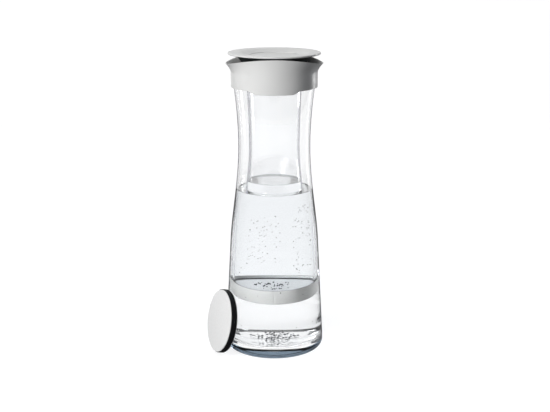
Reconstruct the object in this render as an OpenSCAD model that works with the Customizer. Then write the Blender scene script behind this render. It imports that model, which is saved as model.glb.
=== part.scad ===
// Carafe with a hanging filter insert and a flip lid, standing on z = 0, front towards -Y.
// All lengths are in mm.

/* [Carafe] */
// Radius of the carafe at its heel, the widest place
heel_r = 49.5; // [48:0.5:54]
// Radius of the round between the foot and the wall
heel_round = 7; // [3:0.5:8]
// Height at which the wall begins to taper
taper_start_z = 12; // [9:1:20]
// Radius where the straight taper ends
taper_end_r = 44.2; // [42:0.2:47]
// Height where the straight taper ends
taper_end_z = 112; // [100:1:125]
// Height of the narrowest place
waist_z = 210; // [200:1:220]
// Outer radius of the mouth
mouth_r = 40.2; // [39.4:0.2:42]
// Height of the mouth's rim
mouth_z = 278.5; // [270:0.5:300]
// Height of the straight band below the rim
mouth_band = 10.5; // [8:0.5:14]
// Thickness of the wall
carafe_wall = 1.9; // [1.4:0.1:2.4]
// Thickness of the heavy bottom
floor_t = 9.5; // [7:0.5:14]
// Radius of the inner corner at the floor
floor_round = 11; // [6:0.5:16]
// Depth of the hollow under the foot
foot_hollow = 1; // [0.5:0.1:2]
// Width of the foot ring that stands on the table
foot_ring_w = 6; // [4:0.5:10]

/* [Filter disc] */
// Radius of a filter disc
disc_r = 31.9; // [30:0.1:33]
// Thickness of the carbon core
core_t = 5.8; // [4:0.1:8]
// Thickness of each fleece face at its rim
fleece_t = 0.8; // [0.4:0.1:1.4]
// How far a fleece face stays inside the core's edge
fleece_inset = 0.7; // [0.3:0.1:2]
// Thickness of the flat seal above the installed disc
disc_seal_t = 0.8; // [0.5:0.1:1.5]
// Width of the flat seal above the installed disc
disc_seal_w = 2.2; // [1.5:0.1:4]

/* [Disc holder] */
// Wall of the holder ring
holder_wall = 1; // [0.8:0.1:1.6]
// Radial play of the disc and the spigot in the ring
disc_fit = 0.2; // [0.1:0.05:0.4]
// Radial play of the ring in the carafe's waist
neck_play = 0.6; // [0.4:0.1:1.5]
// Length of the spigot that the ring covers
spigot_cover = 2.4; // [2:0.2:6]
// How far the ring reaches below the grid
holder_skirt = 1.4; // [0:0.2:3]
// Thickness of the grid under the disc
grid_t = 2; // [1.5:0.1:3]
// Width of one bar of the grid
grid_bar_w = 1.6; // [1:0.1:3]
// Width of the grid's own rim
grid_rim_w = 2.4; // [1.6:0.1:4]
// Number of hoops inside the grid's rim
grid_hoops = 2; // [1:1:3]
// Number of spokes in the grid
grid_spokes = 12; // [6:1:16]
// Width of the line that marks the front of the ring
mark_w = 0.6; // [0.4:0.1:1.2]
// Depth of the line that marks the front of the ring
mark_depth = 0.3; // [0.2:0.05:0.5]

/* [Funnel] */
// Length of the funnel tube
funnel_len = 217.5; // [200:0.5:220]
// Wall of the funnel tube
funnel_wall = 1.5; // [1:0.1:2]
// Outer radius of the funnel's mouth
funnel_mouth_r = 26.65; // [26:0.05:28]
// Length of the straight band at the funnel's mouth
funnel_band = 22; // [16:0.5:26]
// Outer radius of the funnel's waist
funnel_waist_r = 25; // [24:0.1:25.8]
// Depth of the funnel's waist below its mouth
funnel_waist_depth = 75; // [70:1:85]
// Outer radius at the funnel's shoulder
funnel_shoulder_r = 30; // [28:0.2:31]
// Depth of the funnel's shoulder below its mouth
funnel_shoulder_depth = 143; // [130:1:150]
// Length of the spigot at the funnel's foot
spigot_len = 9.3; // [6:0.1:12]

/* [Lid collar] */
// Wall of the collar
collar_wall = 1.6; // [1.2:0.1:2.4]
// Radial play of the collar on the carafe's mouth
collar_play = 0.7; // [0.4:0.1:1.2]
// How far the skirt reaches down over the mouth
skirt_drop = 12; // [8:0.5:16]
// How much lower the skirt's front tongue reaches
tongue_drop = 3; // [1:0.5:5]
// Half angle of the tongue's lower edge
tongue_half_deg = 24; // [15:1:28]
// Half angle at which the tongue has run out
tongue_out_deg = 37; // [30:1:45]
// Thickness of the gasket on the carafe's rim
gasket_t = 0.5; // [0.4:0.1:1.2]
// Thickness of the ledge that rests on the gasket
ledge_t = 1.5; // [1:0.1:2.5]
// Outer radius of the rim at front and back
rim_front_r = 43.3; // [42.6:0.1:44.4]
// Height of the rim above the deck at front and back
rim_front_h = 14.5; // [13.5:0.1:16]
// Outer radius at the tips of the two side lips
lip_r = 47.9; // [46:0.1:50]
// Height of the two side lips above the deck
lip_h = 7.2; // [6:0.1:9]
// Wall at the upper edge of the rim
rim_wall = 1.1; // [0.9:0.1:1.5]

/* [Pour deck] */
// Thickness of the deck
deck_t = 1.8; // [1.4:0.1:2.6]
// Radial play of the deck in the collar
deck_play = 0.1; // [0.05:0.05:0.3]
// Number of pouring slots
slot_count = 24; // [12:1:28]
// Width of one pouring slot
slot_w = 3.2; // [2:0.1:4]
// Radius at which the slots begin
slot_in_r = 30.5; // [30:0.1:32]
// Wall of the hub around the funnel's mouth
hub_wall = 2; // [1.6:0.1:2.4]
// Radial play of the funnel's mouth in the hub
hub_play = 0.35; // [0.2:0.05:0.5]
// How far the hub rises above the deck
hub_rise = 2.7; // [2:0.1:4]
// How far the hub reaches below the deck
hub_drop = 6.5; // [5:0.1:8]
// Thickness of the hub's top lip
hub_lip_t = 2; // [1.2:0.1:2]
// Height of the seal around the funnel's mouth
funnel_seal_h = 1.8; // [1:0.1:2.4]

/* [Flip lid] */
// Radius of the lid plate
plate_r = 45.4; // [43:0.1:47]
// Thickness of the lid plate
plate_t = 1.8; // [1.4:0.1:2.4]
// Gap between the plate and the collar's front rim
plate_gap = 1.4; // [1:0.1:2.5]
// Radius where the plate's dish begins
dish_r = 34; // [30:0.5:38]
// Radius of the flat centre
centre_r = 23.7; // [20:0.1:26]
// Depth of the dish
dish_depth = 2.4; // [1.5:0.1:2.8]
// Thickness of the centre plate
centre_t = 1.4; // [1:0.1:1.6]
// How far the centre plate lies below the dish
centre_drop = 0.4; // [0.2:0.1:0.6]
// Radius of the lid's dark underside at its top
under_top_r = 38; // [36:0.2:39.5]
// Radius of the lid's dark underside at its foot
under_foot_r = 29; // [28.7:0.1:31]
// Wall of the underside shell
under_wall = 1.5; // [1.2:0.1:2]
// Thickness of the soft seal under the lid
plug_seal_t = 1.2; // [0.8:0.1:1.6]
// Width of the soft seal under the lid
plug_seal_w = 3.2; // [2:0.1:3.3]
// Radial play of the plug in the hub
plug_play = 0.55; // [0.5:0.05:0.9]
// Taper of the plug towards its foot, on radius
plug_taper = 1.4; // [1.2:0.1:2]
// Depth of the plug below its seal
plug_depth = 6; // [4:0.2:7]

/* [Hinge] */
// Distance of the hinge pin behind the axis of the carafe
pin_y = 48.6; // [48:0.1:50]
// Radius of the hinge pin
pin_r = 1.2; // [1:0.1:1.4]
// Running play around the pin, on radius
pin_play = 0.06; // [0.03:0.01:0.1]
// Radius of the knuckle
knuckle_r = 3; // [2.6:0.1:3.2]
// Width of the knuckle
knuckle_w = 15; // [10:0.5:18]
// Thickness of one ear
ear_t = 3; // [2:0.1:4]
// Gap between the knuckle and each ear
ear_gap = 0.5; // [0.3:0.1:1]
// Height of the pin below the plate's underside
pin_drop = 2.8; // [2.6:0.1:3.2]

/* [Spare disc] */
// Direction of the spare disc, seen from above, from +X
spare_az_deg = 202.5; // [190:0.5:250]
// Lean of the spare disc against the carafe
spare_lean_deg = 11.5; // [5:0.5:14]
// Clear gap between the spare disc and the wall
spare_gap = 0.3; // [0.2:0.05:0.6]

/* [Hidden] */
$fn = 96;
curve_steps = 14;
rim_sides = 96;
rim_rows = 6;
rim_flare_power = 1.8;
cut_extra = 1;
edge_round = 0.7;
fleece_edge = 0.6 * fleece_t;
seat_step = 0.1;
seal_play = 0.1;

disc_t = core_t + 2 * fleece_t;
holder_in_r = disc_r + disc_fit;
holder_r = holder_in_r + holder_wall;
waist_r = holder_r + neck_play + carafe_wall;

gasket_z = mouth_z;
ledge_z = gasket_z + gasket_t;
deck_z = ledge_z + ledge_t;
deck_top_z = deck_z + deck_t;
hub_top_z = deck_top_z + hub_rise;
funnel_top_z = hub_top_z - hub_lip_t;
funnel_foot_z = funnel_top_z - funnel_len;
disc_top_z = funnel_foot_z - disc_seal_t;
disc_z = disc_top_z - disc_t;
grid_z = disc_z - grid_t;
holder_z = grid_z - holder_skirt;
holder_h = funnel_foot_z + spigot_cover - holder_z;

skirt_in_r = mouth_r + collar_play;
skirt_r = skirt_in_r + collar_wall;
skirt_z = mouth_z - skirt_drop;
ledge_in_r = mouth_r - carafe_wall + seat_step;
deck_r = skirt_in_r - deck_play;
rim_z = deck_top_z + rim_front_h;
lip_z = deck_top_z + lip_h;
rim_fall = rim_z - lip_z;
saddle_r = (lip_r * lip_r + rim_fall * rim_fall) / (2 * rim_fall);

hub_in_r = funnel_mouth_r + hub_play;
hub_r = hub_in_r + hub_wall;
hub_lip_in_r = funnel_mouth_r - funnel_wall + seat_step / 2;
seal_groove_w = 1.2;
seal_groove_h = funnel_seal_h + 2 * seal_play;
seal_groove_cover = 1.5;
seal_groove_z = deck_z - seal_groove_cover - seal_groove_h;
slot_edge = 0.2;
slot_out_r = ledge_in_r - slot_edge;

plate_z = rim_z + plate_gap;
plate_top_z = plate_z + plate_t;
pin_z = plate_z - pin_drop;
dish_floor_z = plate_top_z - dish_depth;
seal_top_z = hub_top_z + plug_seal_t;
plug_r = hub_lip_in_r - plug_play;
plug_foot_r = plug_r - plug_taper;

// Straight taper of the carafe's wall, from its own two ends
function taper_r(z) =
    heel_r + (taper_end_r - heel_r) * (z - taper_start_z) / (taper_end_z - taper_start_z);
taper_slope = (heel_r - taper_end_r) / (taper_end_z - taper_start_z);

// Spare disc: its core's rounded edge stands on z = 0 and its back fleece leans towards the wall
fleece_r = disc_r - fleece_inset;
spare_centre_z = (disc_r - edge_round) * cos(spare_lean_deg)
    + (core_t / 2 - edge_round) * sin(spare_lean_deg) + edge_round;
spare_top_z = spare_centre_z + fleece_r * cos(spare_lean_deg) - disc_t / 2 * sin(spare_lean_deg);
spare_centre_r = taper_r(spare_top_z) + spare_gap
    + disc_t / 2 * cos(spare_lean_deg) + fleece_r * sin(spare_lean_deg);

glass_colour = [0.80, 0.88, 0.93, 0.45];
clear_colour = [0.85, 0.90, 0.93, 0.45];
shell_colour = [0.80, 0.80, 0.79];
dark_colour = [0.16, 0.17, 0.17];
carbon_colour = [0.07, 0.07, 0.07];
fleece_colour = [0.93, 0.93, 0.92];
soft_colour = [0.75, 0.77, 0.78];
steel_colour = [0.70, 0.71, 0.72];

function bezier(a, b, c, d, t) =
    pow(1 - t, 3) * a + 3 * t * pow(1 - t, 2) * b + 3 * t * t * (1 - t) * c + t * t * t * d;
function curve(a, b, c, d, steps = curve_steps) =
    [for (i = [1:steps]) bezier(a, b, c, d, i / steps)];
function arc(centre, r, from_deg, to_deg, steps) =
    [for (i = [0:steps])
        let (w = from_deg + (to_deg - from_deg) * i / steps)
            centre + r * [cos(w), sin(w)]];
// Where a line from a point touches a circle, on its left (side 1) or right (side -1)
function tangent_point(from, centre, r, side) =
    let (d = centre - from, away = atan2(d[1], d[0]) + 180, half = acos(r / norm(d)))
        centre + r * [cos(away - side * half), sin(away - side * half)];

// Carafe: outer line from the heel up to the rim, as [radius, height]
function wall_line(inset) =
    let (
        rise = 30, waist_in = 38, waist_out = 22, flare = 14, flare_in = 1.9,
        band_z = mouth_z - mouth_band)
        concat(
            [[heel_r - inset, taper_start_z], [taper_end_r - inset, taper_end_z]],
            curve([taper_end_r - inset, taper_end_z],
                [taper_end_r - inset - rise * taper_slope, taper_end_z + rise],
                [waist_r - inset, waist_z - waist_in], [waist_r - inset, waist_z]),
            curve([waist_r - inset, waist_z], [waist_r - inset, waist_z + waist_out],
                [mouth_r - inset - flare_in, band_z - flare], [mouth_r - inset, band_z]),
            [[mouth_r - inset, mouth_z]]);

module carafe_body() {
    inner = wall_line(carafe_wall);
    inner_up = [for (p = inner) if (p[1] > floor_t + floor_round) p];
    corner_r = taper_r(floor_t + floor_round) - carafe_wall;
    foot_in_r = heel_r - heel_round - foot_ring_w;
    color(glass_colour)
    rotate_extrude()
    polygon(concat(
        [[0, foot_hollow], [foot_in_r, foot_hollow], [foot_in_r + foot_hollow, 0]],
        arc([heel_r - heel_round, heel_round], heel_round, -90, 0, 8),
        wall_line(0),
        [for (i = [len(inner_up) - 1:-1:0]) inner_up[i]],
        arc([corner_r - floor_round, floor_t + floor_round], floor_round, 0, -90, 8),
        [[0, floor_t]]));
}

// Funnel: outer line from its mouth down to the spigot, as [radius, height]
function funnel_line(inset) =
    let (
        top = funnel_top_z, spigot_z = funnel_foot_z + spigot_len, reach = 22, hold = 18,
        neck_in = 0.8, shoulder_in = 0.6)
        concat(
            [[funnel_mouth_r - inset, top], [funnel_mouth_r - inset, top - funnel_band]],
            curve([funnel_mouth_r - inset, top - funnel_band],
                [funnel_mouth_r - inset - neck_in, top - funnel_band - hold],
                [funnel_waist_r - inset, top - funnel_waist_depth + hold],
                [funnel_waist_r - inset, top - funnel_waist_depth]),
            curve([funnel_waist_r - inset, top - funnel_waist_depth],
                [funnel_waist_r - inset, top - funnel_waist_depth - reach],
                [funnel_shoulder_r - inset - shoulder_in, top - funnel_shoulder_depth + reach],
                [funnel_shoulder_r - inset, top - funnel_shoulder_depth]),
            [[disc_r - inset, spigot_z], [disc_r - inset, funnel_foot_z]]);

module funnel_tube() {
    inner = funnel_line(funnel_wall);
    color(clear_colour)
    rotate_extrude()
    polygon(concat(funnel_line(0), [for (i = [len(inner) - 1:-1:0]) inner[i]]));
}

module ring(in_r, out_r, z, h) {
    translate([0, 0, z])
    difference() {
        cylinder(r = out_r, h = h);
        translate([0, 0, -cut_extra])
        cylinder(r = in_r, h = h + 2 * cut_extra);
    }
}

// Seal in the hub's groove, pressed lightly round the funnel's mouth
module funnel_seal() {
    mouth_gap = 0.15;
    color(soft_colour)
    ring(funnel_mouth_r + mouth_gap, hub_in_r + seal_groove_w - seal_play,
        seal_groove_z + seal_play, funnel_seal_h);
}

// Filter disc about its own middle, axis along Z
module carbon_core() {
    color(carbon_colour)
    rotate_extrude()
    polygon(concat(
        [[0, -core_t / 2]],
        arc([disc_r - edge_round, -core_t / 2 + edge_round], edge_round, -90, 0, 4),
        arc([disc_r - edge_round, core_t / 2 - edge_round], edge_round, 0, 90, 4),
        [[0, core_t / 2]]));
}

// Fleece face on the core, with a soft outer edge
module fleece_face() {
    color(fleece_colour)
    rotate_extrude()
    polygon(concat(
        [[0, core_t / 2], [fleece_r, core_t / 2]],
        arc([fleece_r - fleece_edge, disc_t / 2 - fleece_edge], fleece_edge, 0, 90, 4),
        [[0, disc_t / 2]]));
}

module disc_carbon_core() {
    translate([0, 0, disc_z + disc_t / 2])
    carbon_core();
}

module disc_top_fleece() {
    translate([0, 0, disc_z + disc_t / 2])
    fleece_face();
}

module disc_bottom_fleece() {
    translate([0, 0, disc_z + disc_t / 2])
    mirror([0, 0, 1])
    fleece_face();
}

// Flat soft seal between the disc and the funnel's spigot
module disc_gasket() {
    color(soft_colour)
    ring(disc_r - disc_seal_w, disc_r, disc_top_z, disc_seal_t);
}

// Holder: push-on ring with a marking line at its front
module holder_ring() {
    color(shell_colour)
    difference() {
        ring(holder_in_r, holder_r, holder_z, holder_h);
        translate([-mark_w / 2, -holder_r - cut_extra, holder_z - cut_extra])
        cube([mark_w, cut_extra + mark_depth, holder_h + 2 * cut_extra]);
    }
}

// Holder: the open grid that carries the disc
module holder_grid() {
    hoop_gap = (holder_in_r - grid_rim_w) / (grid_hoops + 1);
    color(shell_colour) {
        ring(holder_in_r - grid_rim_w, holder_in_r, grid_z, grid_t);
        for (i = [1:grid_hoops])
            ring(hoop_gap * i - grid_bar_w / 2, hoop_gap * i + grid_bar_w / 2, grid_z, grid_t);
        for (i = [0:grid_spokes - 1])
            rotate([0, 0, 360 * i / grid_spokes])
            translate([0, -grid_bar_w / 2, grid_z])
            cube([holder_in_r - grid_rim_w / 2, grid_bar_w, grid_t]);
    }
}

// Collar: lower edge, with the front tongue that runs out at each side
function skirt_edge_z(a) =
    let (
        off_front = abs((a + 270) % 360 - 180),
        share = (tongue_out_deg - off_front) / (tongue_out_deg - tongue_half_deg))
        skirt_z - tongue_drop * min(1, max(0, share));

// Collar: the rim flares into a pouring lip at each side and is cut by a level saddle curve
function rim_outer_r(a) = rim_front_r + (lip_r - rim_front_r) * pow(cos(a), 2);
function rim_edge_z(a) =
    let (x = rim_outer_r(a) * cos(a))
        rim_z - (saddle_r - sqrt(saddle_r * saddle_r - x * x));

// Collar: point of the wall, row -1 on the lower edge and rows 0 to rim_rows up the flare
function wall_point(a, row, low_r, rim_r) =
    let (
        flare_z = deck_z,
        s = max(0, row) / rim_rows,
        r = low_r + (rim_r - low_r) * pow(s, rim_flare_power),
        z = row < 0 ? skirt_edge_z(a) : flare_z + (rim_edge_z(a) - flare_z) * s)
        [r * cos(a), r * sin(a), z];

module collar_shell() {
    rows = rim_rows + 2;
    section = 2 * rows;
    points = [
        for (k = [0:rim_sides - 1], j = [0:section - 1])
            let (a = 360 * k / rim_sides)
                j < rows
                    ? wall_point(a, j - 1, skirt_r, rim_outer_r(a))
                    : wall_point(a, section - 2 - j, skirt_in_r, rim_outer_r(a) - rim_wall)];
    faces = [
        for (k = [0:rim_sides - 1], j = [0:section - 1], half = [0, 1])
            let (
                here = k * section,
                next = ((k + 1) % rim_sides) * section,
                up = (j + 1) % section)
                half == 0 ? [here + j, here + up, next + up] : [here + j, next + up, next + j]];
    polyhedron(points, faces);
}

// Hinge: side view of one ear, from the collar's back wall to the round of the pin
module ear_side() {
    ear_r = knuckle_r + 0.2;
    ear_root = 0.4;
    root_up = 2.7;
    root_down = 1.3;
    root_low = [skirt_in_r - ear_root / 2, deck_top_z + root_up];
    root_top = [skirt_in_r + ear_root, rim_z - root_down];
    pin_at = [pin_y, pin_z];
    difference() {
        union() {
            translate(pin_at)
            circle(r = ear_r);
            polygon([
                root_low, tangent_point(root_low, pin_at, ear_r, -1),
                tangent_point(root_top, pin_at, ear_r, 1), root_top]);
        }
        translate(pin_at)
        circle(r = pin_r + pin_play / 2);
    }
}

// Stands a side view, drawn in Y and Z, up and gives it a width from x on
module across(x, width) {
    translate([x, 0, 0])
    rotate([90, 0, 90])
    linear_extrude(height = width)
    children();
}

module lid_collar() {
    ear_x = knuckle_w / 2 + ear_gap;
    color(shell_colour) {
        collar_shell();
        ring(ledge_in_r, skirt_in_r + collar_wall / 2, ledge_z, ledge_t);
        across(ear_x, ear_t)
        ear_side();
        across(-ear_x - ear_t, ear_t)
        ear_side();
    }
}

module neck_gasket() {
    color(soft_colour)
    ring(ledge_in_r, mouth_r - seat_step, gasket_z, gasket_t);
}

// Deck: slotted floor of the collar with the hub that holds the funnel's mouth
module pour_deck() {
    color(dark_colour)
    difference() {
        union() {
            translate([0, 0, deck_z])
            cylinder(r = deck_r, h = deck_t);
            translate([0, 0, deck_z - hub_drop])
            cylinder(r = hub_r, h = hub_drop + deck_t + hub_rise);
        }
        translate([0, 0, deck_z - hub_drop - cut_extra])
        cylinder(r = hub_in_r, h = funnel_top_z - deck_z + hub_drop + cut_extra);
        translate([0, 0, deck_z - hub_drop])
        cylinder(r = hub_lip_in_r, h = hub_drop + deck_t + hub_rise + cut_extra);
        translate([0, 0, seal_groove_z])
        cylinder(r = hub_in_r + seal_groove_w, h = seal_groove_h);
        for (i = [0:slot_count - 1])
            rotate([0, 0, 360 * (i + 0.5) / slot_count])
            translate([slot_in_r, -slot_w / 2, deck_z - cut_extra])
            cube([slot_out_r - slot_in_r, slot_w, deck_t + 2 * cut_extra]);
    }
}

module hinge_pin() {
    length = knuckle_w + 2 * (ear_gap + ear_t);
    color(steel_colour)
    translate([-length / 2, pin_y, pin_z])
    rotate([0, 90, 0])
    cylinder(r = pin_r, h = length);
}

// Lid: side view of the arm from the plate's back edge to the knuckle
module arm_side() {
    arm_clear = 0.5;
    arm_sink = 0.6;
    arm_root = 1;
    shoulder_in = 3;
    arm_z = rim_z + arm_clear;
    arm_top_z = plate_top_z - arm_sink;
    from_y = under_top_r + arm_root;
    pin_at = [pin_y, pin_z];
    shoulder = [plate_r - shoulder_in, arm_top_z];
    difference() {
        union() {
            translate(pin_at)
            circle(r = knuckle_r);
            polygon([
                [from_y, arm_z], [pin_y, arm_z],
                tangent_point(shoulder, pin_at, knuckle_r, 1),
                shoulder, [from_y, arm_top_z]]);
        }
        translate(pin_at)
        circle(r = pin_r + pin_play);
    }
}

// Lid: dished plate with a seat for its centre plate, and the arm of the hinge
module lid_top_plate() {
    seat_z = dish_floor_z - centre_drop - centre_t;
    seat_t = 1.2;
    seat_w = 3;
    dish_toe = 1;
    skin = 1.5;
    color(shell_colour) {
        rotate_extrude()
        polygon(concat(
            arc([plate_r - plate_t / 2, plate_z + plate_t / 2], plate_t / 2, -90, 90, 8),
            [
                [dish_r, plate_top_z], [centre_r + dish_toe, dish_floor_z],
                [centre_r, dish_floor_z], [centre_r, seat_z],
                [centre_r - seat_w, seat_z], [centre_r - seat_w, seat_z - seat_t],
                [centre_r + skin, seat_z - seat_t], [centre_r + skin, dish_floor_z - skin],
                [dish_r, plate_z]]));
        across(-knuckle_w / 2, knuckle_w)
        arm_side();
    }
}

module lid_centre_plate() {
    color(shell_colour)
    translate([0, 0, dish_floor_z - centre_drop - centre_t])
    cylinder(r = centre_r - seat_step, h = centre_t);
}

// Lid: dark bowl under the plate
module lid_underside() {
    floor_w = 3;
    floor_in_r = plug_r - floor_w;
    color(dark_colour)
    rotate_extrude()
    polygon([
        [floor_in_r, seal_top_z], [under_foot_r, seal_top_z], [under_top_r, plate_z],
        [under_top_r - under_wall, plate_z], [under_foot_r - under_wall, seal_top_z + under_wall],
        [floor_in_r, seal_top_z + under_wall]]);
}

// Lid: tapered cup that closes the funnel's mouth
module lid_plug() {
    foot_z = hub_top_z - plug_depth;
    cup_wall = 1.5;
    color(dark_colour)
    rotate_extrude()
    polygon([
        [0, foot_z], [plug_foot_r, foot_z], [plug_r, seal_top_z],
        [plug_r - cup_wall, seal_top_z], [plug_foot_r - cup_wall, foot_z + cup_wall],
        [0, foot_z + cup_wall]]);
}

module plug_seal() {
    hub_edge = 0.4;
    out_r = hub_r - hub_edge;
    color(dark_colour)
    ring(out_r - plug_seal_w, out_r, hub_top_z, plug_seal_t);
}

// Puts a disc part beside the carafe, on its edge and leaning back
module at_spare_place() {
    rotate([0, 0, spare_az_deg])
    translate([spare_centre_r, 0, spare_centre_z])
    rotate([0, 90 - spare_lean_deg, 0])
    children();
}

module spare_carbon_core() {
    at_spare_place()
    carbon_core();
}

module spare_front_fleece() {
    at_spare_place()
    fleece_face();
}

module spare_back_fleece() {
    at_spare_place()
    mirror([0, 0, 1])
    fleece_face();
}

carafe_body();
funnel_tube();
funnel_seal();
disc_carbon_core();
disc_top_fleece();
disc_bottom_fleece();
disc_gasket();
holder_ring();
holder_grid();
lid_collar();
neck_gasket();
pour_deck();
hinge_pin();
lid_top_plate();
lid_centre_plate();
lid_underside();
lid_plug();
plug_seal();
spare_carbon_core();
spare_front_fleece();
spare_back_fleece();
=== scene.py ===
import math
import random

import bmesh
import bpy
from mathutils import Matrix, Vector


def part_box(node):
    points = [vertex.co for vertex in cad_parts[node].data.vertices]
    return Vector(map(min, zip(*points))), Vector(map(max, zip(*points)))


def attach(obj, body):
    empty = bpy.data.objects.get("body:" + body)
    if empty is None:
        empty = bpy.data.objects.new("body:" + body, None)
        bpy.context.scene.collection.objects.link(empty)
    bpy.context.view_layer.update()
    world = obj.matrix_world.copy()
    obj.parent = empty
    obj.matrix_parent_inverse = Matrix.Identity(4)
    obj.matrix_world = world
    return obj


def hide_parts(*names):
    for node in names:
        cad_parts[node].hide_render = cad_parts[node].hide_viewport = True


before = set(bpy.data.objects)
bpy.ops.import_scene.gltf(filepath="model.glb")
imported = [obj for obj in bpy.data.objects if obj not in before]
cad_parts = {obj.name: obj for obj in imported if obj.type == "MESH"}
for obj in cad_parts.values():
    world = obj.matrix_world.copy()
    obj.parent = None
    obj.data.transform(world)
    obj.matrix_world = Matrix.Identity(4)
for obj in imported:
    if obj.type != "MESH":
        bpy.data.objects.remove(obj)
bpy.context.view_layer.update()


# Camera and stage: the carafe stands on a plain white table before a bright card.
# A large soft lamp in front on the left lights it, with a narrow one behind on the right
# and a weak one overhead, as in a small studio.
CAMERA_BACK = 1.0618
CAMERA_UP = 0.4148
CAMERA_DOWN_DEG = 14.2136
CAMERA_LENS = 71.36
CAMERA_SENSOR = 36
CAMERA_SHIFT = 0.0013
CAMERA_NEAR = 0.02
FLOOR_W = 7.0
FLOOR_DROP = 0.0002
FLOOR_GREY = (0.24, 0.24, 0.245)
FLOOR_GLOW = 0.80
CARD_BACK = 1.3
CARD_W = 1.9
CARD_H = 2.4
CARD_DROP = 0.3
CARD_GREY = (0.2, 0.2, 0.2)
CARD_GLOW = 0.92
STAGE_ROUGHNESS = 0.6
STAGE_SPECULAR = 0.2
# Name, place, aim, width and height, and power of each lamp.
KEY_LAMP = ("key_light", (-0.9, -1.0, 0.9), (0, 0, 0.2), (0.6, 0.9), 33)
SIDE_LAMP = ("side_light", (0.95, 0.75, 0.40), (0, 0, 0.25), (0.22, 0.8), 5)
TOP_LAMP = ("top_light", (0, 0.1, 1.4), (0, 0, 0.2), (0.9, 0.9), 0.2)
SURROUND = (0.33, 0.35, 0.39)
SURROUND_LIGHT = 0.28
LIGHT_BOUNCES = 24


def camera():
    data = bpy.data.cameras.new("camera")
    data.lens = CAMERA_LENS
    data.sensor_width = CAMERA_SENSOR
    data.shift_x = CAMERA_SHIFT
    data.clip_start = CAMERA_NEAR
    seen_from = bpy.data.objects.new("camera", data)
    bpy.context.collection.objects.link(seen_from)
    seen_from.location = (0, -CAMERA_BACK, CAMERA_UP)
    seen_from.rotation_euler = (math.radians(90 - CAMERA_DOWN_DEG), 0, 0)
    bpy.context.scene.camera = seen_from


def shader_of(material):
    return material.node_tree.nodes["Principled BSDF"]


def new_material(name, colour, roughness, more=()):
    """A material of one colour and roughness; more holds further inputs and their values."""
    material = bpy.data.materials.new(name)
    material.use_nodes = True
    for label, value in (("Base Color", (*colour, 1)), ("Roughness", roughness), *more):
        shader_of(material).inputs[label].default_value = value
    return material


def stage_material(name, colour, glow):
    return new_material(name, colour, STAGE_ROUGHNESS, (
        ("Specular IOR Level", STAGE_SPECULAR), ("Emission Color", (1, 1, 1, 1)),
        ("Emission Strength", glow)))


def floor_material():
    """White table: its glow is seen directly and through glass, but doesn't light the plastics."""
    material = stage_material("floor_paint", FLOOR_GREY, FLOOR_GLOW)
    tree = material.node_tree
    ray = tree.nodes.new("ShaderNodeLightPath")
    seen = tree.nodes.new("ShaderNodeMath")
    seen.operation = "MAXIMUM"
    tree.links.new(ray.outputs["Is Camera Ray"], seen.inputs[0])
    tree.links.new(ray.outputs["Is Transmission Ray"], seen.inputs[1])
    glow = tree.nodes.new("ShaderNodeMath")
    glow.operation = "MULTIPLY"
    glow.inputs[0].default_value = FLOOR_GLOW
    tree.links.new(seen.outputs[0], glow.inputs[1])
    tree.links.new(glow.outputs[0], shader_of(material).inputs["Emission Strength"])
    return material


def stage_plane(name, width, depth, place, turn, material):
    bm = bmesh.new()
    bmesh.ops.create_grid(bm, x_segments=1, y_segments=1, size=0.5)
    bmesh.ops.scale(bm, vec=(width, depth, 1), verts=bm.verts)
    mesh = bpy.data.meshes.new(name)
    bm.to_mesh(mesh)
    bm.free()
    plane = bpy.data.objects.new(name, mesh)
    bpy.context.collection.objects.link(plane)
    plane.location = place
    plane.rotation_euler = turn
    plane.data.materials.append(material)


def area_light(name, place, aim, size, energy):
    data = bpy.data.lights.new(name, "AREA")
    data.shape = "RECTANGLE"
    data.size, data.size_y = size
    data.energy = energy
    lamp = bpy.data.objects.new(name, data)
    bpy.context.collection.objects.link(lamp)
    lamp.location = place
    lamp.rotation_euler = (Vector(aim) - Vector(place)).to_track_quat("-Z", "Y").to_euler()
    return lamp


camera()
stage_plane("floor", FLOOR_W, FLOOR_W, (0, 0, -FLOOR_DROP), (0, 0, 0), floor_material())
stage_plane("card", CARD_W, CARD_H, (0, CARD_BACK, CARD_H / 2 - CARD_DROP),
            (math.radians(90), 0, 0), stage_material("card_paint", CARD_GREY, CARD_GLOW))
# The key lamp leaves no bright square on the glass.
area_light(*KEY_LAMP).visible_glossy = False
area_light(*SIDE_LAMP)
area_light(*TOP_LAMP)
world = bpy.data.worlds.new("studio")
bpy.context.scene.world = world
world.use_nodes = True
world.node_tree.nodes["Background"].inputs["Color"].default_value = (*SURROUND, 1)
world.node_tree.nodes["Background"].inputs["Strength"].default_value = SURROUND_LIGHT
bpy.context.scene.view_settings.view_transform = "Standard"
bpy.context.scene.cycles.max_bounces = LIGHT_BOUNCES
bpy.context.scene.cycles.transmission_bounces = LIGHT_BOUNCES
bpy.context.scene.cycles.transparent_max_bounces = LIGHT_BOUNCES


# Carafe: one piece of blown clear glass with a heavy bottom, a waist and a flared mouth.
# Its inner faces below the water level meet water, so they bend light less.
MM = 0.001
HEEL_R = 49.5
HEEL_ROUND = 7
HEEL_TOP_Z = 9.5
TAPER_START_Z = 12
TAPER_END = (44.2, 112)
WAIST = (35.6, 210)
MOUTH = (40.2, 268)
MOUTH_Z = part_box("carafe_body")[1][2] / MM
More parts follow.
